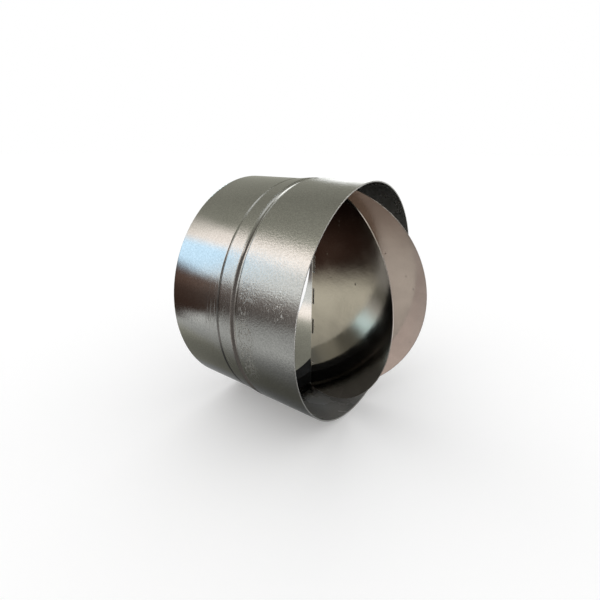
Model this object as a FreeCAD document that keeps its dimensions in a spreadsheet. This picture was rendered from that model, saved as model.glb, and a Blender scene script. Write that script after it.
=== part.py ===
# Butterfly backdraft damper for a round duct, in millimetres.
# The duct axis is +X, in the direction of the air flow. The origin is the centre of the inlet
# end, and +Z runs along the spindle that both blades swing on.
import FreeCAD, Part
import math
import os
import Sketcher

Vector = FreeCAD.Vector

SIZES = {
    "casing_length": 90.0,
    "outlet_radius": 74.5,
    "inlet_step": 0.9,
    "wall": 0.6,
    "score_position": 37.2,
    "score_half_width": 0.8,
    "score_depth": 0.5,
    "seat_position": 49.52,
    "seat_depth": 1.65,
    "seat_bend_radius": 0.8,
    "seat_flank_angle": 45.0,
    "seat_clearance": 0.25,
    "edge_clearance": 1.2,
    "seal_width": 9.0,
    "seal_height": 10.5,
    "spindle_radius": 1.25,
    "bore_clearance": 0.05,
    "blade_sheet": 0.5,
    "straight_edge_gap": 0.25,
    "knuckle_pitch": 22.4,
    "knuckle_length": 10.4,
    "end_knuckle_length": 22.8,
    "knuckle_gap": 0.3,
    "knuckle_shift": -1.5,
    "notch_clearance": 0.5,
    "staked_head_radius": 2.2,
    "staked_head_height": 0.3,
    "staked_head_gap": 0.02,
    "near_blade_angle": 69.1,
    "far_blade_angle": 78.6,
}

FAR_KNUCKLES = 3
NEAR_KNUCKLES = FAR_KNUCKLES - 1

# The inlet end is a step smaller than the outlet end.
INLET_RADIUS = "(Sizes.outlet_radius - Sizes.inlet_step)"

# The blade's sheet is tangent to its knuckles on their upstream side.
KNUCKLE_BORE = "(Sizes.spindle_radius + Sizes.bore_clearance)"
KNUCKLE_OUTER = f"({KNUCKLE_BORE} + Sizes.blade_sheet)"
BLADE_RADIUS = "(Sizes.outlet_radius - Sizes.wall - Sizes.edge_clearance)"

# The seat bead is a groove rolled into the wall: two straight flanks and a rounded bottom.
SEAT_DROP = "(Sizes.seat_depth - Sizes.seat_bend_radius)"
FLANK_SIN = "sin(Sizes.seat_flank_angle)"
FLANK_COS = "cos(Sizes.seat_flank_angle)"
SEAT_HALF_WIDTH = f"((Sizes.seat_bend_radius + {SEAT_DROP} * {FLANK_COS}) / {FLANK_SIN})"

# Closed blades rest on the downstream flank of that bead, so the spindle's place follows from
# where the flank meets the blade's edge.
EDGE_DROP = "(Sizes.wall + Sizes.edge_clearance)"
FLANK_REACH = f"({SEAT_HALF_WIDTH} + (Sizes.wall - {EDGE_DROP} * {FLANK_COS}) / {FLANK_SIN})"
SPINDLE_X = f"(Sizes.seat_position + {FLANK_REACH} + Sizes.seat_clearance + {KNUCKLE_OUTER})"

# The score line is a shallow V, and its inner face lies one sheet thickness below.
SCORE_SLOPE = "sqrt(Sizes.score_half_width^2 + Sizes.score_depth^2)"
SCORE_SHEET = f"(Sizes.wall * {SCORE_SLOPE} / Sizes.score_half_width)"

# The seal ring lies inside the wall, from the crest of the seat bead back over the cone.
SEAT_HALF_INSIDE = f"({SEAT_HALF_WIDTH} + Sizes.wall * (1 - {FLANK_COS}) / {FLANK_SIN})"
SCORE_HALF_INSIDE = ("(Sizes.score_half_width"
                     f" * (1 + ({SCORE_SHEET} - Sizes.wall) / Sizes.score_depth))")
CONE_LENGTH = (f"(Sizes.seat_position - {SEAT_HALF_INSIDE} - Sizes.score_position"
               f" - {SCORE_HALF_INSIDE})")
SEAL_BED = "(Sizes.outlet_radius - Sizes.wall)"
SEAL_FOOT = (f"({SEAL_BED} - Sizes.inlet_step * (Sizes.seal_width - {SEAT_HALF_INSIDE})"
             f" / {CONE_LENGTH})")
SEAL_BORE = f"({SEAL_BED} - Sizes.seal_height)"

NOTCH_REACH = f"({KNUCKLE_OUTER} + Sizes.notch_clearance)"
FAR_STACK = f"({FAR_KNUCKLES - 1} * Sizes.knuckle_pitch + Sizes.knuckle_length)"
STACK = f"({FAR_STACK} + 2 * (Sizes.knuckle_gap + Sizes.end_knuckle_length))"

doc = FreeCAD.newDocument("BackdraftDamper")


def make_sheet():
    sheet = doc.addObject("Spreadsheet::Sheet", "Sizes")
    for row, (alias, value) in enumerate(SIZES.items(), start=1):
        sheet.set(f"A{row}", alias)
        sheet.set(f"B{row}", str(value))
        sheet.setAlias(f"B{row}", alias)
    doc.recompute()


def value_of(expression):
    return float(doc.getObject("Sizes").evalExpression(expression))


def new_body(name):
    body = doc.addObject("PartDesign::Body", name)
    body.Label = name
    return body


def origin_feature(body, role):
    return next(feature for feature in body.Origin.OriginFeatures if feature.Role == role)


def new_sketch(body, name, role, offset=None):
    """A sketch on one of the body's own planes, moved along its normal by an expression."""
    sketch = body.newObject("Sketcher::SketchObject", name)
    sketch.AttachmentSupport = (origin_feature(body, role), [""])
    sketch.MapMode = "FlatFace"
    if offset is not None:
        sketch.setExpression("AttachmentOffset.Base.z", offset)
    return sketch


def line(sketch, start, end):
    return sketch.addGeometry(Part.LineSegment(Vector(*start, 0), Vector(*end, 0)), False)


def circle(sketch, centre, radius):
    return sketch.addGeometry(Part.Circle(Vector(*centre, 0), Vector(0, 0, 1), radius), False)


def arc(sketch, centre, radius, first, last):
    """An arc from the first to the last angle, in degrees, anticlockwise."""
    whole = Part.Circle(Vector(*centre, 0), Vector(0, 0, 1), radius)
    turned = Part.ArcOfCircle(whole, math.radians(first), math.radians(last))
    return sketch.addGeometry(turned, False)


def fix(sketch, kind, *places):
    return sketch.addConstraint(Sketcher.Constraint(kind, *places))


def drive(sketch, name, kind, expression, *places):
    """A dimension bound to an expression over the sheet."""
    index = fix(sketch, kind, *places, value_of(expression))
    sketch.renameConstraint(index, name)
    sketch.setExpression("Constraints." + name, expression)


# How a sketch numbers a piece's points and its own axes.
START, END, CENTRE = range(1, 4)
X_AXIS, Y_AXIS = range(-1, -3, -1)
ORIGIN = (X_AXIS, START)


def join_chain(sketch, pieces):
    for here, there in zip(pieces, pieces[1:]):
        fix(sketch, "Coincident", here, END, there, START)


def join_loop(sketch, pieces):
    join_chain(sketch, pieces + pieces[:1])


def make_casing():
    body = new_body("casing")
    draw_wall(new_sketch(body, "WallSection", "XZ_Plane"))
    turned = body.newObject("PartDesign::Revolution", "RolledWall")
    turned.Profile = doc.getObject("WallSection")
    turned.ReferenceAxis = (doc.getObject("WallSection"), ["H_Axis"])
    turned.Angle = 360

    holes = new_sketch(body, "SpindleHoleSketch", "XY_Plane")
    ring = circle(holes, (value_of(SPINDLE_X), 0), value_of(KNUCKLE_BORE))
    fix(holes, "PointOnObject", ring, CENTRE, X_AXIS)
    drive(holes, "place", "DistanceX", SPINDLE_X, *ORIGIN, ring, CENTRE)
    drive(holes, "radius", "Radius", KNUCKLE_BORE, ring)
    drilled = body.newObject("PartDesign::Pocket", "SpindleHoles")
    drilled.Profile = holes
    drilled.Type = "ThroughAll"
    drilled.SideType = "Symmetric"
    return body


def draw_wall(sketch):
    """The rolled wall: inlet spigot, score line, cone, seat bead and outlet spigot."""
    inlet, outlet = value_of(INLET_RADIUS), value_of("Sizes.outlet_radius")
    wall, length = value_of("Sizes.wall"), value_of("Sizes.casing_length")
    score_x, score_half = value_of("Sizes.score_position"), value_of("Sizes.score_half_width")
    score_tip = inlet - value_of("Sizes.score_depth")
    score_in_tip = score_tip - value_of(SCORE_SHEET)
    seat_x, seat_half = value_of("Sizes.seat_position"), value_of(SEAT_HALF_WIDTH)
    bend, slope = value_of("Sizes.seat_bend_radius"), value_of("Sizes.seat_flank_angle")
    middle = (seat_x, outlet - value_of(SEAT_DROP))

    def at_bend(radius, side):
        """Where the flank on that side touches a bend of this radius."""
        turn = math.radians(slope)
        return (seat_x + side * radius * math.sin(turn), middle[1] - radius * math.cos(turn))

    def bottom(radius):
        return arc(sketch, middle, radius, 270 - slope, 270 + slope)

    inlet_out = line(sketch, (0, inlet), (score_x - score_half, inlet))
    score_fall = line(sketch, (score_x - score_half, inlet), (score_x, score_tip))
    score_rise = line(sketch, (score_x, score_tip), (score_x + score_half, inlet))
    cone_out = line(sketch, (score_x + score_half, inlet), (seat_x - seat_half, outlet))
    seat_fall = line(sketch, (seat_x - seat_half, outlet), at_bend(bend, -1))
    seat_out = bottom(bend)
    seat_rise = line(sketch, at_bend(bend, 1), (seat_x + seat_half, outlet))
    outlet_out = line(sketch, (seat_x + seat_half, outlet), (length, outlet))
    rim = line(sketch, (length, outlet), (length, outlet - wall))
    outlet_in = line(sketch, (length, outlet - wall), (seat_x + seat_half, outlet - wall))
    rise_in = line(sketch, (seat_x + seat_half, outlet - wall), at_bend(bend + wall, 1))
    seat_in = bottom(bend + wall)
    fall_in = line(sketch, at_bend(bend + wall, -1), (seat_x - seat_half, outlet - wall))
    cone_in = line(sketch, (seat_x - seat_half, outlet - wall), (score_x + score_half, inlet - wall))
    score_in_rise = line(sketch, (score_x + score_half, inlet - wall), (score_x, score_in_tip))
    score_in_fall = line(sketch, (score_x, score_in_tip), (score_x - score_half, inlet - wall))
    inlet_in = line(sketch, (score_x - score_half, inlet - wall), (0, inlet - wall))
    mouth = line(sketch, (0, inlet - wall), (0, inlet))

    join_chain(sketch, [inlet_out, score_fall, score_rise, cone_out, seat_fall])
    join_chain(sketch, [seat_rise, outlet_out, rim, outlet_in, rise_in])
    join_chain(sketch, [fall_in, cone_in, score_in_rise, score_in_fall, inlet_in, mouth,
                        inlet_out])
    fix(sketch, "Tangent", seat_fall, END, seat_out, START)
    fix(sketch, "Tangent", seat_out, END, seat_rise, START)
    fix(sketch, "Tangent", rise_in, END, seat_in, END)
    fix(sketch, "Tangent", seat_in, START, fall_in, START)
    fix(sketch, "Coincident", seat_out, CENTRE, seat_in, CENTRE)
    for level in (inlet_out, outlet_out, outlet_in, inlet_in):
        fix(sketch, "Horizontal", level)
    for upright in (rim, mouth):
        fix(sketch, "Vertical", upright)
    fix(sketch, "PointOnObject", mouth, START, Y_AXIS)
    fix(sketch, "Horizontal", score_fall, START, score_rise, END)
    fix(sketch, "Horizontal", seat_fall, START, seat_rise, END)
    fix(sketch, "Horizontal", fall_in, END, rise_in, START)
    fix(sketch, "Horizontal", score_in_rise, START, score_in_fall, END)
    fix(sketch, "Vertical", score_fall, END, score_in_rise, END)
    fix(sketch, "Parallel", score_in_fall, score_fall)
    fix(sketch, "Parallel", score_in_rise, score_rise)
    fix(sketch, "Parallel", fall_in, seat_fall)
    fix(sketch, "Parallel", rise_in, seat_rise)

    drive(sketch, "inlet_radius", "DistanceY", INLET_RADIUS, *ORIGIN, mouth, END)
    drive(sketch, "outlet_radius", "DistanceY", "Sizes.outlet_radius", *ORIGIN, rim, START)
    drive(sketch, "length", "DistanceX", "Sizes.casing_length", *ORIGIN, rim, START)
    drive(sketch, "inlet_wall", "DistanceY", "Sizes.wall", mouth, START, mouth, END)
    drive(sketch, "outlet_wall", "DistanceY", "Sizes.wall", rim, END, rim, START)
    drive(sketch, "score_x", "DistanceX", "Sizes.score_position", *ORIGIN, score_fall, END)
    drive(sketch, "score_left", "DistanceX", "Sizes.score_half_width",
          score_fall, START, score_fall, END)
    drive(sketch, "score_right", "DistanceX", "Sizes.score_half_width",
          score_rise, START, score_rise, END)
    drive(sketch, "score_depth", "DistanceY", "Sizes.score_depth",
          score_fall, END, score_fall, START)
    drive(sketch, "score_sheet", "DistanceY", SCORE_SHEET,
          score_in_rise, END, score_fall, END)
    drive(sketch, "seat_x", "DistanceX", "Sizes.seat_position", *ORIGIN, seat_out, CENTRE)
    drive(sketch, "seat_y", "DistanceY", f"Sizes.outlet_radius - {SEAT_DROP}",
          *ORIGIN, seat_out, CENTRE)
    drive(sketch, "seat_bend", "Radius", "Sizes.seat_bend_radius", seat_out)
    drive(sketch, "seat_bend_in", "Radius", "Sizes.seat_bend_radius + Sizes.wall", seat_in)
    drive(sketch, "seat_left", "DistanceX", SEAT_HALF_WIDTH, seat_fall, START, seat_out, CENTRE)
    drive(sketch, "seat_right", "DistanceX", SEAT_HALF_WIDTH, seat_out, CENTRE, seat_rise, END)


def make_seal_ring():
    """A soft square ring inside the wall, pressed against the seat bead's upstream flank."""
    body = new_body("seal_ring")
    sketch = new_sketch(body, "SealSection", "XZ_Plane")
    seat_x, seat_half = value_of("Sizes.seat_position"), value_of(SEAT_HALF_INSIDE)
    back_x = seat_x - value_of("Sizes.seal_width")
    bore, foot = value_of(SEAL_BORE), value_of(SEAL_FOOT)
    bed = value_of(SEAL_BED)
    centre = (seat_x, value_of(f"Sizes.outlet_radius - {SEAT_DROP}"))
    bend = value_of("Sizes.seat_bend_radius + Sizes.wall")
    slope = value_of("Sizes.seat_flank_angle")
    turn = math.radians(slope)
    touch = (seat_x - bend * math.sin(turn), centre[1] - bend * math.cos(turn))

    back = line(sketch, (back_x, bore), (back_x, foot))
    cone = line(sketch, (back_x, foot), (seat_x - seat_half, bed))
    flank = line(sketch, (seat_x - seat_half, bed), touch)
    crest = arc(sketch, centre, bend, 270 - slope, 270)
    front = line(sketch, (seat_x, centre[1] - bend), (seat_x, bore))
    inside = line(sketch, (seat_x, bore), (back_x, bore))
    join_chain(sketch, [front, inside, back, cone, flank])
    fix(sketch, "Tangent", flank, END, crest, START)
    fix(sketch, "Coincident", crest, END, front, START)
    fix(sketch, "Vertical", crest, END, crest, CENTRE)
    for upright in (back, front):
        fix(sketch, "Vertical", upright)
    fix(sketch, "Horizontal", inside)
    drive(sketch, "seat_x", "DistanceX", "Sizes.seat_position", *ORIGIN, crest, CENTRE)
    drive(sketch, "seat_y", "DistanceY", f"Sizes.outlet_radius - {SEAT_DROP}",
          *ORIGIN, crest, CENTRE)
    drive(sketch, "crest_bend", "Radius", "Sizes.seat_bend_radius + Sizes.wall", crest)
    drive(sketch, "flank_start", "DistanceX", SEAT_HALF_INSIDE, flank, START, crest, CENTRE)
    drive(sketch, "bed", "DistanceY", SEAL_BED, *ORIGIN, flank, START)
    drive(sketch, "foot", "DistanceY", SEAL_FOOT, *ORIGIN, back, END)
    drive(sketch, "bore", "DistanceY", SEAL_BORE, *ORIGIN, back, START)
    drive(sketch, "width", "DistanceX", "Sizes.seal_width", inside, END, inside, START)

    turned = body.newObject("PartDesign::Revolution", "SealTurned")
    turned.Profile = sketch
    turned.ReferenceAxis = (sketch, ["H_Axis"])
    turned.Angle = 360
    return body


def make_spindle():
    """A plain rod across the duct, staked over outside the wall at both ends."""
    body = new_body("spindle")
    body.setExpression("Placement.Base.x", SPINDLE_X)
    under_head = "(Sizes.outlet_radius + Sizes.staked_head_gap)"
    dome_radius = ("((Sizes.staked_head_radius^2 + Sizes.staked_head_height^2)"
                   " / (2 * Sizes.staked_head_height))")
    rod, head = value_of("Sizes.spindle_radius"), value_of("Sizes.staked_head_radius")
    seat = value_of(under_head)
    crown = seat + value_of("Sizes.staked_head_height")
    dome = value_of(dome_radius)
    spread = math.degrees(math.asin(head / dome))

    sketch = new_sketch(body, "SpindleSection", "XZ_Plane")
    foot = arc(sketch, (0, dome - crown), dome, 270, 270 + spread)
    foot_seat = line(sketch, (head, -seat), (rod, -seat))
    side = line(sketch, (rod, -seat), (rod, seat))
    head_seat = line(sketch, (rod, seat), (head, seat))
    cap = arc(sketch, (0, crown - dome), dome, 90 - spread, 90)
    core = line(sketch, (0, crown), (0, -crown))
    join_loop(sketch, [foot, foot_seat, side, head_seat, cap, core])
    fix(sketch, "Horizontal", head_seat)
    for low, high in ((side, side), (core, core)):
        fix(sketch, "Symmetric", low, START, high, END, X_AXIS)
    fix(sketch, "Symmetric", foot, END, cap, START, X_AXIS)
    for dome_arc in (foot, cap):
        fix(sketch, "PointOnObject", dome_arc, CENTRE, Y_AXIS)
    fix(sketch, "PointOnObject", core, START, Y_AXIS)
    drive(sketch, "rod_radius", "DistanceX", "Sizes.spindle_radius", *ORIGIN, side, END)
    drive(sketch, "head_radius", "DistanceX", "Sizes.staked_head_radius",
          *ORIGIN, head_seat, END)
    drive(sketch, "head_seat", "DistanceY", under_head, *ORIGIN, head_seat, END)
    drive(sketch, "head_height", "DistanceY", "Sizes.staked_head_height",
          head_seat, END, cap, END)

    turned = body.newObject("PartDesign::Revolution", "StakedRod")
    turned.Profile = sketch
    turned.ReferenceAxis = (sketch, ["V_Axis"])
    turned.Angle = 360
    return body


def half_disc(body, side):
    """The blade's sheet, with its straight edge beside the spindle."""
    start = KNUCKLE_BORE if side < 0 else f"-{KNUCKLE_OUTER}"
    sketch = new_sketch(body, body.Name + "_outline", "XZ_Plane", start)
    radius, gap = value_of(BLADE_RADIUS), value_of("Sizes.straight_edge_gap")
    lean = math.degrees(math.asin(gap / radius))
    tip = radius * math.cos(math.radians(lean))
    rim = arc(sketch, (0, 0), radius, lean - 90, 90 - lean)
    edge = line(sketch, (gap, tip), (gap, -tip))
    join_loop(sketch, [rim, edge])
    fix(sketch, "Vertical", edge)
    fix(sketch, "Coincident", rim, CENTRE, *ORIGIN)
    drive(sketch, "radius", "Radius", BLADE_RADIUS, rim)
    drive(sketch, "edge_gap", "DistanceX", "Sizes.straight_edge_gap", *ORIGIN, edge, START)
    sheet = body.newObject("PartDesign::Pad", body.Name + "_sheet")
    sheet.Profile = sketch
    sheet.setExpression("Length", "Sizes.blade_sheet")
    return sheet


def hinge_notch(body):
    """Cuts the straight edge back along the whole stack of knuckles."""
    sketch = new_sketch(body, body.Name + "_notch_outline", "XZ_Plane")
    reach, tall = value_of(NOTCH_REACH), f"({STACK} + 2 * Sizes.knuckle_gap)"
    half, shift = value_of(tall) / 2, value_of("Sizes.knuckle_shift")
    low = line(sketch, (0, shift - half), (reach, shift - half))
    deep = line(sketch, (reach, shift - half), (reach, shift + half))
    high = line(sketch, (reach, shift + half), (0, shift + half))
    back = line(sketch, (0, shift + half), (0, shift - half))
    join_loop(sketch, [low, deep, high, back])
    fix(sketch, "Horizontal", low)
    fix(sketch, "Horizontal", high)
    fix(sketch, "Vertical", deep)
    fix(sketch, "PointOnObject", back, START, Y_AXIS)
    fix(sketch, "PointOnObject", back, END, Y_AXIS)
    drive(sketch, "reach", "DistanceX", NOTCH_REACH, *ORIGIN, deep, START)
    drive(sketch, "height", "DistanceY", tall, deep, START, deep, END)
    drive(sketch, "foot", "DistanceY", f"{tall} / 2 - Sizes.knuckle_shift",
          deep, START, *ORIGIN)
    notch = body.newObject("PartDesign::Pocket", body.Name + "_notch")
    notch.Profile = sketch
    notch.Type = "ThroughAll"
    notch.SideType = "Symmetric"
    return notch


def knuckles(body, side, name, length, start, count, spacing):
    """Tabs of the sheet curled round the spindle, repeated along it."""
    sketch = new_sketch(body, f"{body.Name}_{name}_curl", "XY_Plane", start)
    bore, outer = value_of(KNUCKLE_BORE), value_of(KNUCKLE_OUTER)
    tail = f"({NOTCH_REACH} + Sizes.blade_sheet)"
    reach = value_of(tail)
    first, last = (90, 360) if side > 0 else (0, 270)
    root, tip = (START, END) if side > 0 else (END, START)

    inside = arc(sketch, (0, 0), bore, first, last)
    outside = arc(sketch, (0, 0), outer, first, last)
    inner_face = line(sketch, (0, side * bore), (reach, side * bore))
    stop = line(sketch, (reach, side * bore), (reach, side * outer))
    outer_face = line(sketch, (reach, side * outer), (0, side * outer))
    lip = line(sketch, (outer, 0), (bore, 0))
    join_chain(sketch, [inner_face, stop, outer_face])
    fix(sketch, "Coincident", inside, root, inner_face, START)
    fix(sketch, "Coincident", outside, root, outer_face, END)
    fix(sketch, "Coincident", outside, tip, lip, START)
    fix(sketch, "Coincident", inside, tip, lip, END)
    fix(sketch, "Coincident", inside, CENTRE, *ORIGIN)
    fix(sketch, "Coincident", outside, CENTRE, *ORIGIN)
    for level in (inner_face, outer_face):
        fix(sketch, "Horizontal", level)
    fix(sketch, "Vertical", stop)
    fix(sketch, "PointOnObject", inner_face, START, Y_AXIS)
    fix(sketch, "PointOnObject", outer_face, END, Y_AXIS)
    fix(sketch, "PointOnObject", lip, START, X_AXIS)
    fix(sketch, "PointOnObject", lip, END, X_AXIS)
    drive(sketch, "bore", "Radius", KNUCKLE_BORE, inside)
    drive(sketch, "outer", "Radius", KNUCKLE_OUTER, outside)
    drive(sketch, "reach", "DistanceX", tail, *ORIGIN, stop, START)

    curl = body.newObject("PartDesign::Pad", f"{body.Name}_{name}_knuckle")
    curl.Profile = sketch
    curl.setExpression("Length", length)
    doc.recompute()
    row = body.newObject("PartDesign::LinearPattern", f"{body.Name}_{name}_row")
    row.Originals = [curl]
    row.Direction = (origin_feature(body, "Z_Axis"), [""])
    row.Mode = "Spacing"
    row.Occurrences = count
    row.setExpression("Offset", spacing)
    body.Tip = row
    doc.recompute()


def stand_blade(body, turn):
    """Puts the blade on the spindle's axis, turned about it by an expression in degrees."""
    place = f"create(<<vector>>; {SPINDLE_X}; 0; 0)"
    about = f"create(<<rotation>>; create(<<vector>>; 0; 0; 1); {turn})"
    body.setExpression("Placement", f"create(<<placement>>; {place}; {about})")


def make_near_blade():
    """The blade on the -Y side: two short knuckles between the far blade's, one long at each end."""
    body = new_body("near_blade")
    half_disc(body, -1)
    hinge_notch(body)
    short = "(Sizes.knuckle_pitch - Sizes.knuckle_length - 2 * Sizes.knuckle_gap)"
    first_short = f"Sizes.knuckle_shift - Sizes.knuckle_pitch / 2 - {short} / 2"
    knuckles(body, -1, "short", short, first_short, NEAR_KNUCKLES, "Sizes.knuckle_pitch")
    knuckles(body, -1, "end", "Sizes.end_knuckle_length", f"Sizes.knuckle_shift - {STACK} / 2",
             2, f"{STACK} - Sizes.end_knuckle_length")
    stand_blade(body, "Sizes.near_blade_angle - 90")
    return body


def make_far_blade():
    """The blade on the +Y side, which swings on the knuckles in the middle of the stack."""
    body = new_body("far_blade")
    half_disc(body, 1)
    hinge_notch(body)
    knuckles(body, 1, "middle", "Sizes.knuckle_length", f"Sizes.knuckle_shift - {FAR_STACK} / 2",
             FAR_KNUCKLES, "Sizes.knuckle_pitch")
    stand_blade(body, "90 - Sizes.far_blade_angle")
    return body


def check_document():
    doc.recompute()
    for item in doc.Objects:
        if "Invalid" in item.State or "Error" in item.State:
            raise RuntimeError(f"{item.Name} did not build")
        if item.isDerivedFrom("Sketcher::SketchObject") and not item.FullyConstrained:
            raise RuntimeError(f"{item.Name} is not fully constrained")


def write_parts(bodies):
    os.makedirs("parts", exist_ok=True)
    for body in bodies:
        shape = body.Shape
        if shape.isNull() or not shape.isValid() or len(shape.Solids) != 1:
            raise RuntimeError(f"{body.Label} is not one sound solid")
        shape.exportStep(os.path.join("parts", body.Label + ".step"))


make_sheet()
bodies = [make_casing(), make_seal_ring(), make_spindle(), make_near_blade(), make_far_blade()]
check_document()
write_parts(bodies)
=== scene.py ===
"""The looks of a round duct's backdraft damper: galvanised casing, two sheet blades, spindle."""

import math

import bpy
from mathutils import Matrix, Vector


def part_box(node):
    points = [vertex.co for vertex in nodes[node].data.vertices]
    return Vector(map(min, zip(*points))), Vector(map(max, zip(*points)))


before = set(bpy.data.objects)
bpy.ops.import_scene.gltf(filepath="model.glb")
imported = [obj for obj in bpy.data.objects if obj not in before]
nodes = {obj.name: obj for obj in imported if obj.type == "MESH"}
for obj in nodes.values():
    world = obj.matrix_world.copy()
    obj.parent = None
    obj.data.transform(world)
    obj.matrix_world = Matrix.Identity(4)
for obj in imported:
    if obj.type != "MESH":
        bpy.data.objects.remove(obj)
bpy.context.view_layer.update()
scene = bpy.context.scene

# Lengths are in metres, in the part's frame: x along the duct, z up along the spindle.
# The camera stands a little above the duct's axis, on the outlet side.
CAMERA_PLACE = Vector((0.18313, -0.20143, 0.09065))
CAMERA_RIGHT = Vector((0.8155, 0.5787, 0.0042))
CAMERA_UP = Vector((-0.2179, 0.3003, 0.9286))
CAMERA_LENS_MM = 22.673
CAMERA_SENSOR_MM = 36.0
CAMERA_NEAREST = 0.005
CAMERA_FURTHEST = 50.0

# The floor lies just under the spindle's lower end, the lowest point.
FLOOR_GAP = 0.00008
FLOOR_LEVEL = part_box("spindle")[0].z - FLOOR_GAP
FLOOR_REACH = 12.0
FLOOR_COLOUR = (0.88, 0.88, 0.88, 1.0)
FLOOR_GLOW = 0.14
WHITE = (1.0, 1.0, 1.0, 1.0)

# The studio round the object is a ball of cards and windows, cut in rows and columns; the top
# row lies at this rise, in degrees.
TENT_RADIUS = 3.0
TENT_COLUMNS = 300
TENT_ROWS = 150
TENT_TOP = 89.9

# Places along the casing: the score line, the middle of the seat bead, where the seal ring
# ends, and the outlet rim.
SCORE_PLACE = 0.0372
SEAT_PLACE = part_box("seal_ring")[1].x
RIM_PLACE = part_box("casing")[1].x

# Radii that the cut edges and the bead are rounded with, and how far the normal leans along
# the duct on the strip between score and bead and on the bead's shoulder.
SHEET_EDGE = 0.0004
BEAD_EDGE = 0.0011
STRIP_SLOPE = 0.1
SHOULDER_SLOPE = 0.35

# Stretches along the casing. A rise or a fade has its two ends, and a band has four places:
# where it starts, where it is full, where it is last full and where it ends.
PITTED_RISE = (SCORE_PLACE - 0.016, SEAT_PLACE + 0.006)
STREAKED_BAND = (SCORE_PLACE - 0.014, SCORE_PLACE - 0.002, SEAT_PLACE - 0.002, SEAT_PLACE)
DENTED_BAND = (SEAT_PLACE, SEAT_PLACE + 0.002, SEAT_PLACE + 0.009, SEAT_PLACE + 0.017)
STRIP_BAND = (SCORE_PLACE + 0.0006, SCORE_PLACE + 0.0012, SEAT_PLACE - 0.0026, SEAT_PLACE - 0.0018)
SHOULDER_BAND = (SEAT_PLACE - 0.0026, SEAT_PLACE - 0.0020, SEAT_PLACE - 0.0013, SEAT_PLACE - 0.0008)
BEAD_BAND = (SEAT_PLACE - 0.0045, SEAT_PLACE - 0.0035, SEAT_PLACE + 0.0035, SEAT_PLACE + 0.0045)
BEAD_FOOT = SEAT_PLACE + 0.0018
DUSTY_RISE = (0.055, 0.067)
RIM_RISE = (RIM_PLACE - 0.0020, RIM_PLACE - 0.0005)

# The streaks' strength, where the dents' is 1.
STREAKS_SHARE = 0.45

# How far from a middle line something fades in or out.
FOOT_FADE = (0.0030, 0.0020)
SCORE_FADE = (0.0011, 0.0006)
OFF_SCORE_RISE = (0.0008, 0.0020)
OFF_BEAD_RISE = (0.0025, 0.0040)

# Stretches up the casing: its bottom, the roll marks, the painted shade in the score, the shoulder.
BOTTOM_FADE = (-0.045, -0.062)
MARKED_BAND = (-0.036, -0.016, 0.018, 0.034)
SCORE_SHADE_FADE = (0.045, 0.030)
SHOULDER_RISE = (0.030, 0.042)

# A scuffed spot on the casing and a dark dot on the near blade.
SCUFF_PLACE = (0.0775, -0.0712, 0.021)
SCUFF_REACH = 0.011
DOT_PLACE = (0.091, -0.017, 0.019)
DOT_REACH = 0.0011

# Base colours of the materials.
GALVANISED_GREY = (0.37, 0.365, 0.345)
SPONGE_BLACK = (0.03, 0.03, 0.03)
PLATED_GREY = (0.42, 0.42, 0.41)
BLADE_GREY = (0.38, 0.345, 0.31)

# Tints of the light in the studio.
OLIVE = Vector((1.0, 1.0, 0.86))
WARM = Vector((1.0, 0.92, 0.88))
COOL = Vector((0.72, 1.0, 1.27))
BROWN = Vector((1.4, 0.8, 0.6))
PINK = Vector((1.0, 0.87, 0.83))
CARD = Vector((1.0, 1.02, 1.06))
SHADE = Vector((1.08, 0.97, 0.92))
GLASS = Vector((0.93, 1.28, 1.42))
NEUTRAL = Vector((0.98, 1.0, 1.0))


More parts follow.
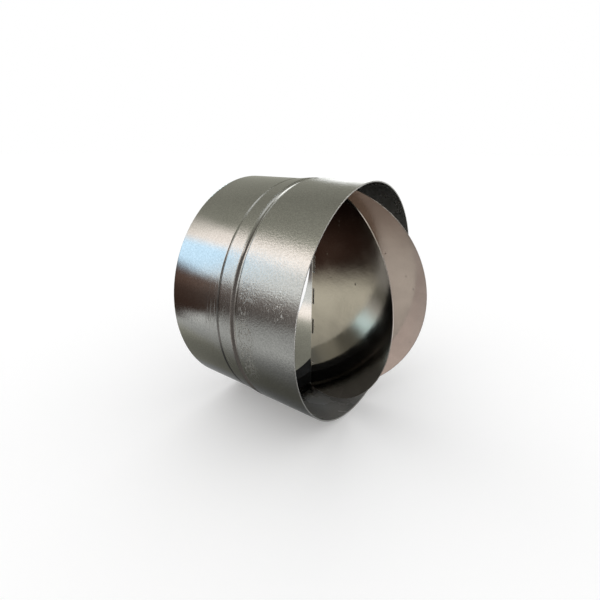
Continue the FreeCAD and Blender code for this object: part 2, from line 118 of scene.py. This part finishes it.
class Tree:
    """A material's or the world's node tree, with short calls to add and join nodes."""

    def __init__(self, owner):
        owner.use_nodes = True
        self.tree = owner.node_tree
        self.tree.nodes.clear()

    def add(self, kind, inputs=None, **settings):
        """A new node; its inputs are given as numbers or as other nodes' outputs."""
        made = self.tree.nodes.new("ShaderNode" + kind)
        for name, value in settings.items():
            setattr(made, name, value)
        for name, value in (inputs or {}).items():
            socket = made.inputs[name]
            if isinstance(value, bpy.types.NodeSocket):
                self.tree.links.new(value, socket)
            else:
                socket.default_value = value
        return made

    def math(self, operation, *values):
        return self.add("Math", dict(enumerate(values)), operation=operation).outputs[0]

    def total(self, *values):
        result = values[0]
        for value in values[1:]:
            result = self.math("ADD", result, value)
        return result

    def times(self, *values):
        result = values[0]
        for value in values[1:]:
            result = self.math("MULTIPLY", result, value)
        return result

    def gap(self, value, place):
        """How far the value is from the place, on either side."""
        return self.math("ABSOLUTE", self.math("SUBTRACT", value, place))

    def vector(self, operation, *values):
        return self.add("VectorMath", dict(enumerate(values)), operation=operation).outputs

    def stretch(self, place, factors):
        return self.vector("MULTIPLY", place, factors)[0]

    def shade(self, colour, tone):
        """The colour made lighter or darker by a tone around 1."""
        inputs = {0: colour, "Scale": tone}
        return self.add("VectorMath", inputs, operation="SCALE").outputs[0]

    def noise(self, place, scale, detail=2.0, rough=0.5):
        inputs = {"Vector": place, "Scale": scale, "Detail": detail, "Roughness": rough}
        return self.add("TexNoise", inputs).outputs["Fac"]

    def cells(self, place, scale):
        """The distance from the middle of the nearest cell."""
        return self.add("TexVoronoi", {"Vector": place, "Scale": scale}).outputs["Distance"]

    def range(self, value, low, high, to_low=0.0, to_high=1.0):
        """A smooth step from to_low at low to to_high at high; low may be the larger."""
        inputs = {"Value": value, "From Min": low, "From Max": high,
                  "To Min": to_low, "To Max": to_high}
        return self.add("MapRange", inputs, interpolation_type="SMOOTHSTEP").outputs[0]

    def blend(self, mask, plain, full):
        """The plain number where the mask is 0 and the full one where it is 1."""
        return self.range(mask, 0.0, 1.0, plain, full)

    def vary(self, noise, least, most):
        """A number that follows the noise over its usual span."""
        return self.range(noise, 0.3, 0.7, least, most)

    def band(self, value, start, full, full_end, end):
        """1 from full to full_end, fading to 0 at start and end."""
        return self.times(self.range(value, start, full), self.range(value, end, full_end))

    def near(self, place, spot, reach):
        """1 close to the spot, fading to 0 at the reach."""
        return self.range(self.vector("DISTANCE", place, spot)["Value"], reach, reach * 0.3)

    def bump(self, height, strength, distance, normal=None):
        inputs = {"Height": height, "Strength": strength, "Distance": distance}
        if normal is not None:
            inputs["Normal"] = normal
        return self.add("Bump", inputs).outputs[0]

    def rounded(self, radius):
        """The surface's normal with the sheet's sharp edges rounded off."""
        return self.add("Bevel", {"Radius": radius}, samples=6).outputs[0]

    def rounded_edge_mask(self, rounded):
        """1 where rounding turns the surface's normal, as along a cut edge, and 0 elsewhere."""
        flat = self.add("NewGeometry").outputs["Normal"]
        alike = self.vector("DOT_PRODUCT", flat, rounded)["Value"]
        return self.range(alike, 0.98, 0.85)

    def metal(self, base, rough, normal, metallic=1.0):
        shader = self.add("BsdfPrincipled", {"Base Color": base, "Metallic": metallic,
                                             "Roughness": rough, "Normal": normal})
        self.finish(shader)

    def finish(self, shader, kind="OutputMaterial"):
        self.add(kind, {"Surface": shader.outputs[0]})


def new_material(name):
    """A material, its empty node tree, and the place on the object as the tree's input."""
    material = bpy.data.materials.new(name)
    tree = Tree(material)
    return material, tree, tree.add("TexCoord").outputs["Object"]


def facing_axis(t, place):
    """1 on the casing's inner side, 0 on its outer side."""
    radial = t.vector("NORMALIZE", t.stretch(place, (0.0, 1.0, 1.0)))[0]
    facing = t.vector("DOT_PRODUCT", t.add("TexCoord").outputs["Normal"], radial)["Value"]
    return t.range(facing, 0.1, -0.1)


def roll_marks(t, place, along, height, streaks):
    """Faint streaks on the inlet's side of the bead, and small dents on the outlet's side."""
    patches = t.noise(place, scale=75.0)
    dents = t.noise(t.stretch(place, (1300.0, 420.0, 420.0)), scale=1.0, rough=0.6)
    streaked = t.times(t.band(along, *STREAKED_BAND), t.range(streaks, 0.48, 0.66),
                       t.range(patches, 0.36, 0.58), STREAKS_SHARE)
    dented = t.times(t.band(along, *DENTED_BAND), t.range(dents, 0.50, 0.60),
                     t.range(patches, 0.30, 0.45))
    off_bead = t.range(t.gap(along, SEAT_PLACE), *OFF_BEAD_RISE)
    off_score = t.range(t.gap(along, SCORE_PLACE), *OFF_SCORE_RISE)
    halfway_up = t.band(height, *MARKED_BAND)
    return t.times(t.total(streaked, dented), off_bead, off_score, halfway_up)


def leaned(t, rounded, along, height, outside):
    """The normal leaned level between score and bead, and rounder on the bead's shoulder."""
    strip = t.band(along, *STRIP_BAND)
    shoulder = t.times(t.band(along, *SHOULDER_BAND), t.range(height, *SHOULDER_RISE))
    lean = t.math("SUBTRACT", t.times(strip, STRIP_SLOPE), t.times(shoulder, SHOULDER_SLOPE))
    forward = t.shade((1.0, 0.0, 0.0), t.times(lean, outside))
    return t.vector("NORMALIZE", t.vector("ADD", rounded, forward)[0])[0]


def galvanised(name, colour):
    """Zinc-coated sheet, smooth at the inlet, finely pitted beyond the bead, with roll marks."""
    material, t, place = new_material(name)
    axes = t.add("SeparateXYZ", {0: place}).outputs
    along, height = axes["X"], axes["Z"]
    grain = t.noise(place, scale=1150.0, rough=0.55)
    fine = t.noise(place, scale=2600.0, rough=0.6)
    clouds = t.noise(place, scale=42.0, detail=4.0, rough=0.6)
    streaks = t.noise(t.stretch(place, (1500.0, 70.0, 70.0)), scale=1.0, rough=0.6)
    scratches = t.noise(t.stretch(place, (1400.0, 500.0, 500.0)), scale=1.0, rough=0.6)

    inside = facing_axis(t, place)
    outside = t.math("SUBTRACT", 1.0, inside)
    pitted = t.range(along, *PITTED_RISE)
    by_bead = t.band(along, *BEAD_BAND)
    rolled = t.times(roll_marks(t, place, along, height, streaks), outside)
    scuffed = t.times(t.near(place, SCUFF_PLACE, SCUFF_REACH), t.range(scratches, 0.60, 0.65))

    # The inner wall is dusty beyond the seal, most of all along the bottom, where its colour is also
    # made darker.
    low = t.range(height, *BOTTOM_FADE)
    beyond_seal = t.range(along, *DUSTY_RISE)
    low_inner_wall = t.times(inside, low, beyond_seal)
    lying = t.times(low, t.range(clouds, 0.3, 0.65, 0.32, 0.38))
    dust = t.times(inside, beyond_seal, t.total(0.07, lying), t.blend(low_inner_wall, 1.0, 2.4))

    # Painted shade darkens the foot of the bead inside the duct, low down, and the score line
    # outside it, below the top.
    bead_foot_shade = t.times(inside, low, t.range(t.gap(along, BEAD_FOOT), *FOOT_FADE))
    score_shade = t.times(outside, t.range(t.gap(along, SCORE_PLACE), *SCORE_FADE),
                     t.range(height, *SCORE_SHADE_FADE))

    rounded = t.rounded(t.blend(by_bead, SHEET_EDGE, BEAD_EDGE))
    bare_rim_and_highlight = t.times(t.rounded_edge_mask(rounded), t.range(along, *RIM_RISE))

    tone = t.total(t.vary(grain, 0.9, 1.1), t.vary(clouds, -0.03, 0.03), scuffed,
                   t.times(rolled, 0.2))
    # The low inner wall is made darker, and the bead's foot and the score line get painted shade.
    tone = t.times(tone, t.blend(low_inner_wall, 1.0, 0.42), t.blend(bead_foot_shade, 1.0, 0.25),
                   t.blend(score_shade, 1.0, 0.45))
    # The rim's cut edge is bare metal and is made much lighter still, as a painted highlight.
    tone = t.total(tone, t.times(bare_rim_and_highlight, 0.7))

    rough = t.total(t.blend(pitted, 0.085, 0.17), t.vary(clouds, 0.0, 0.03),
                    t.times(rolled, 0.5), t.times(scuffed, 0.35), t.times(inside, 0.08))

    relief = t.total(t.times(grain, t.blend(pitted, 0.14, 1.0)),
                     t.times(fine, t.blend(pitted, 0.12, 0.3)),
                     t.times(streaks, 0.05), t.times(rolled, 0.6))
    relief_strength = t.times(t.blend(inside, 0.4, 0.05), t.blend(by_bead, 1.0, 0.25))
    normal = leaned(t, rounded, along, height, outside)
    normal = t.bump(relief, relief_strength, distance=0.0002, normal=normal)
    normal = t.bump(clouds, t.blend(inside, 0.10, 0.02), distance=0.0008, normal=normal)
    t.metal(t.shade(colour, tone), rough, normal, t.math("SUBTRACT", 1.0, dust))
    return material


def rolled_sheet(name, colour):
    """The blades' smoother sheet, with smudges, a few specks, a film of dust, and cut edges
    lightened as a painted highlight.
    """
    material, t, place = new_material(name)
    grain = t.noise(place, scale=1500.0, rough=0.6)
    lines = t.noise(t.stretch(place, (60.0, 60.0, 900.0)), scale=1.0)
    smudges = t.noise(place, scale=46.0, detail=4.0, rough=0.62)
    film = t.noise(place, scale=24.0, detail=4.0, rough=0.65)
    speck = t.range(t.cells(place, scale=120.0), 0.10, 0.05)
    dot = t.near(place, DOT_PLACE, DOT_REACH)
    rounded = t.rounded(SHEET_EDGE)
    edge = t.rounded_edge_mask(rounded)

    # The cut edges are bare metal, made much lighter still as a painted highlight.
    tone = t.total(t.vary(grain, 0.96, 1.04), t.vary(smudges, -0.04, 0.04),
                   t.vary(film, -0.09, 0.09), t.times(speck, -0.12), t.times(dot, -0.8),
                   t.times(edge, 0.9))
    rough = t.total(t.vary(smudges, 0.07, 0.14), t.times(speck, 0.15), t.times(edge, 0.2))
    relief = t.total(t.times(grain, 0.4), t.times(lines, 0.1))
    normal = t.bump(relief, strength=0.10, distance=0.0002, normal=rounded)
    normal = t.bump(smudges, strength=0.06, distance=0.001, normal=normal)
    t.metal(t.shade(colour, tone), rough, normal)
    return material


def plated(name, colour):
    """The spindle's zinc plating, with a fine drawn grain along the rod."""
    material, t, place = new_material(name)
    grain = t.noise(place, scale=1800.0, detail=3.0, rough=0.6)
    drawn = t.noise(t.stretch(place, (2400.0, 2400.0, 90.0)), scale=1.0)
    tone = t.vary(grain, 0.88, 1.0)
    rough = t.total(t.vary(grain, 0.2, 0.3), t.range(drawn, 0.4, 0.7, 0.0, 0.06))
    normal = t.bump(t.total(grain, drawn), strength=0.12, distance=0.0001)
    t.metal(t.shade(colour, tone), rough, normal)
    return material


def sponge_rubber(name, colour):
    """The seal ring's black cellular rubber: open pores in a matte skin."""
    material, t, place = new_material(name)
    pores = t.cells(place, scale=1400.0)
    clouds = t.noise(place, scale=60.0, detail=3.0)
    tone = t.total(t.range(pores, 0.1, 0.6, 0.15, 0.6), t.vary(clouds, -0.06, 0.06))
    normal = t.bump(t.range(pores, 0.05, 0.45), strength=0.5, distance=0.0003)
    t.finish(t.add("BsdfPrincipled", {"Base Color": t.shade(colour, tone),
                                      "Roughness": t.range(pores, 0.1, 0.5, 0.95, 0.82),
                                      "Specular IOR Level": 0.08, "Normal": normal}))
    return material


# The studio as the metal mirrors it. A direction is given by its rise above the horizon and
# its turn from the way back through the inlet (0) towards the near side (positive), in degrees.
def soft(value, low, high):
    """0 at low, 1 at high, and smooth between them; low may be the larger of the two."""
    share = min(max((value - low) / (high - low), 0.0), 1.0)
    return share * share * (3.0 - 2.0 * share)


def band(value, start, full, full_end, end):
    """1 from full to full_end, fading to 0 at start and end."""
    return soft(value, start, full) * soft(value, end, full_end)


def ramp(value, stops):
    """The value on a line through (place, height) stops, level outside them."""
    if value <= stops[0][0]:
        return stops[0][1]
    for (x0, y0), (x1, y1) in zip(stops, stops[1:]):
        if value <= x1:
            return y0 + (y1 - y0) * (value - x0) / (x1 - x0)
    return stops[-1][1]


def direction(turn, rise):
    """The way that a turn and a rise point to, as a vector of length 1."""
    up, side = math.radians(rise), math.radians(turn)
    return Vector((-math.cos(up) * math.cos(side), -math.cos(up) * math.sin(side), math.sin(up)))


def room(turn, rise):
    """Walls and ceiling, and below the horizon the table, which is lighter further back."""
    above = ramp(rise, [(0, 0.8), (25, 0.55), (38, 0.45), (45, 0.37), (90, 0.38)])
    table = ramp(rise, [(-58, 0.14), (-53, 0.18), (-47, 0.24), (-43, 0.38), (-39, 0.66),
                        (-33, 0.86), (-24, 0.70), (-16, 0.62)])
    far_table = ramp(rise, [(-58, 0.15), (-53, 0.2), (-47, 0.3), (-42, 0.36), (-36, 0.54),
                            (-30, 0.72), (-25, 1.08), (-21, 1.35), (-18, 1.4)])
    table += (far_table - table) * soft(turn, 46, 38)
    table *= ramp(turn, [(24, 0.76), (32, 1.0)])
    level = above if rise > 0 else table
    olive = max(soft(rise, 20, 40), band(turn, -20, -8, 26, 34))
    return NEUTRAL.lerp(OLIVE, olive) * level


# Each card below gives its colour in a direction, and how much it covers what lies behind it.
def ceiling(turn, rise):
    """The ceiling over the near side, darker the further it rolls over the duct's axis."""
    way = direction(turn, rise)
    roll = math.degrees(math.atan2(way.z, -way.y))
    level = ramp(roll, [(60, 0.95), (68, 0.66), (74, 0.52), (87, 0.46), (110, 0.38)])
    cover = soft(roll, 116, 100) * soft(turn, 100, 80) if rise > 0 else 0.0
    return OLIVE * level, cover


def near_window(turn, rise):
    """The tall window on the near side: cool low panes and a warm strip above them."""
    panes = COOL.lerp(NEUTRAL, soft(turn, 40, 49)) * ramp(turn, [(40, 2.1), (49, 1.58)])
    strip = WARM * ramp(turn, [(20, 2.0), (30, 2.1), (38, 2.6), (46, 2.6)])
    foot = ramp(turn, [(18, 27), (29, 30), (41, 33.5), (47, 33)])
    lintel = ramp(turn, [(0, 37.0), (15, 41.0), (38, 46.5), (60, 49.0)])
    fading = ramp(turn, [(4, 0.0), (9, 0.2), (15, 0.35), (21, 0.54), (25, 0.86), (28, 1.0)])
    low_part = soft(rise, 30, 24) * soft(turn, -14, 0)
    cover = soft(rise, lintel + 4, lintel - 4) * soft(turn, 118, 96) * max(fading, low_part)
    return panes.lerp(strip, soft(rise, foot - 4, foot + 4)), cover if rise > 0 else 0.0


def window_foot(turn, rise):
    """The dark gap under the window, darkest at its foot and furthest back."""
    level = ramp(turn, [(15, 0.03), (24, 0.03), (36, 0.045), (42, 0.08), (50, 0.15), (57, 0.17),
                        (70, 0.28)])
    level *= ramp(rise, [(-12, 0.85), (-4, 1.0), (4, 2.0)])
    deep = ramp(rise, [(-13, 0.05), (-10.5, 0.028), (-8, 0.008)])
    deep *= ramp(turn, [(18, 1.0), (24, 0.4)])
    level += (deep - level) * soft(turn, 34, 24)
    foot = ramp(turn, [(18, -18.9), (23, -18.3), (28, -20.0), (34, -28.0), (36, -25.8),
                       (38, -23.2), (41, -19.6), (50, -14.3), (57, -11.4)])
    sill = ramp(turn, [(37, 14.7), (40, 12.6), (43, 10.0), (50, 9.9), (57, 10.4)])
    cover = band(rise, foot - 2.5, foot + 2.5, sill - 4, sill + 4) * band(turn, -8, 8, 120, 135)
    return BROWN.lerp(SHADE, soft(turn, 38, 52)) * level, cover


def far_wall(turn, rise):
    """The dim wall on the far side, between and over its windows."""
    return OLIVE * 0.42, band(turn, -100, -80, -8, 2) * band(rise, -11, -4, 36, 52)


def far_patch(turn, rise):
    """A lighter piece of that wall, straight behind the inlet."""
    return OLIVE, band(turn, -18, -12, -4, 2) * band(rise, 6, 12, 33, 38)


def far_window(turn, rise):
    """A narrow low window on the far side, brighter and cooler higher up."""
    pane = NEUTRAL.lerp(GLASS, soft(rise, 4, 14)) * ramp(rise, [(6, 2.2), (14, 4.2)])
    return pane, band(turn, -42, -34, -27, -20) * band(rise, -5, 7, 15, 21)


def side_window(turn, rise):
    """A wide low window further round on the far side."""
    return NEUTRAL * 2.2, band(turn, -95, -80, -62, -55) * band(rise, 0, 8, 16, 28)


def dark_card(turn, rise):
    """A tall dark card on the near side of the outlet."""
    return SHADE * 0.18, band(turn % 360, 104, 116, 185, 205) * soft(rise, 58, 44)


def low_wall(turn, rise):
    """A pinkish wall low down beside the dark card."""
    level = ramp(rise, [(-30, 0.97), (-24, 0.89), (-18, 0.66)])
    return PINK * level, band(turn, 82, 90, 98, 106) * band(rise, -50, -36, -15, -8)


def pale_card(turn, rise):
    """A pale card on the far side of the outlet, brightest low down."""
    level = ramp(rise, [(-20, 2.35), (-15, 2.05), (-12, 1.75), (-8, 1.0), (8, 0.6)])
    cover = band(turn, -160, -146, -124, -115) * band(rise, -33, -24, 4, 14)
    return PINK.lerp(CARD, soft(rise, -6, -14)) * level, cover


def slip(turn, rise):
    """A slip of pinkish light low down in front of the dark card."""
    return PINK * 1.7, band(turn, 142, 148, 160, 168) * band(rise, -22, -14, -4, 2)


def lamp(turn, rise):
    """A lamp high up on the far side of the outlet."""
    return NEUTRAL * 3.0, band(turn % 360, 205, 216, 250, 262) * band(rise, 44, 50, 64, 72)


def ceiling_light(turn, rise):
    """A soft light straight overhead."""
    return NEUTRAL * 1.2, soft(rise, 70, 80)


CARDS = (ceiling, near_window, window_foot, far_wall, far_patch, far_window, side_window,
         dark_card, low_wall, pale_card, slip, lamp, ceiling_light)


def tent_glow(turn, rise):
    """The light that the metal mirrors from one direction."""
    glow = room(turn, rise)
    for card in CARDS:
        colour, cover = card(turn, rise)
        glow = glow.lerp(colour, cover)
    return glow


def new_object(name, points, faces):
    """A mesh object in the scene."""
    mesh = bpy.data.meshes.new(name)
    mesh.from_pydata(points, [], faces)
    made = bpy.data.objects.new(name, mesh)
    scene.collection.objects.link(made)
    return made


def make_tent():
    """The ball of cards and windows, met only by what the metal mirrors."""
    points, colours, faces = [], [], []
    for row in range(TENT_ROWS + 1):
        rise = TENT_TOP * (2.0 * row / TENT_ROWS - 1.0)
        for column in range(TENT_COLUMNS):
            turn = 360.0 * column / TENT_COLUMNS - 180.0
            points.append(direction(turn, rise) * TENT_RADIUS)
            colours.extend((*tent_glow(turn, rise), 1.0))
    for row in range(TENT_ROWS):
        here, there = row * TENT_COLUMNS, (row + 1) * TENT_COLUMNS
        for column in range(TENT_COLUMNS):
            beside = (column + 1) % TENT_COLUMNS
            faces.append((here + column, here + beside, there + beside, there + column))
    tent = new_object("studio_tent", points, faces)
    tent.data.color_attributes.new("glow", "FLOAT_COLOR", "POINT").data.foreach_set("color", colours)

    material = bpy.data.materials.new("tent_glow")
    t = Tree(material)
    glow = t.add("Attribute", attribute_name="glow").outputs["Color"]
    t.finish(t.add("Emission", {"Color": glow, "Strength": 1.0}))
    tent.data.materials.append(material)
    for sight in ("camera", "diffuse", "transmission", "volume_scatter", "shadow"):
        setattr(tent, "visible_" + sight, False)


def make_floor():
    """A plain pale floor that keeps the object's shadow and isn't mirrored by the metal."""
    reach = FLOOR_REACH
    corners = [(-reach, -reach, FLOOR_LEVEL), (reach, -reach, FLOOR_LEVEL),
               (reach, reach, FLOOR_LEVEL), (-reach, reach, FLOOR_LEVEL)]
    floor = new_object("floor", corners, [(0, 1, 2, 3)])
    material = bpy.data.materials.new("pale_floor")
    t = Tree(material)
    path = t.add("LightPath").outputs
    shown = t.math("MAXIMUM", path["Is Camera Ray"], path["Is Glossy Ray"])
    shown = t.math("MAXIMUM", shown, path["Is Transmission Ray"])
    glow = t.add("Emission", {"Color": WHITE, "Strength": t.times(shown, FLOOR_GLOW)})
    paint = t.add("BsdfDiffuse", {"Color": FLOOR_COLOUR})
    t.finish(t.add("AddShader", {0: glow.outputs[0], 1: paint.outputs[0]}))
    floor.data.materials.append(material)
    floor.visible_glossy = False


def make_world():
    """Even white light from all round."""
    world = bpy.data.worlds.new("studio")
    scene.world = world
    t = Tree(world)
    t.finish(t.add("Background", {"Color": WHITE, "Strength": 1.0}), "OutputWorld")


def make_camera():
    """The camera, from its place and the directions of its right and up."""
    data = bpy.data.cameras.new("camera")
    data.lens = CAMERA_LENS_MM
    data.sensor_width = CAMERA_SENSOR_MM
    data.clip_start = CAMERA_NEAREST
    data.clip_end = CAMERA_FURTHEST
    camera = bpy.data.objects.new("camera", data)
    right = CAMERA_RIGHT.normalized()
    back = CAMERA_RIGHT.cross(CAMERA_UP).normalized()
    turned = Matrix((right, back.cross(right), back)).transposed().to_4x4()
    camera.matrix_world = Matrix.Translation(CAMERA_PLACE) @ turned
    scene.collection.objects.link(camera)
    scene.camera = camera


def set_material(node, material):
    """The material in every slot of the node."""
    for slot in node.material_slots:
        slot.material = material


make_camera()
make_world()
make_floor()
make_tent()
set_material(nodes["casing"], galvanised("galvanised_wall", GALVANISED_GREY))
set_material(nodes["seal_ring"], sponge_rubber("black_sponge", SPONGE_BLACK))
set_material(nodes["spindle"], plated("plated_rod", PLATED_GREY))
for blade in ("near_blade", "far_blade"):
    set_material(nodes[blade], rolled_sheet(blade + "_sheet", BLADE_GREY))
scene.view_settings.view_transform = "Standard"
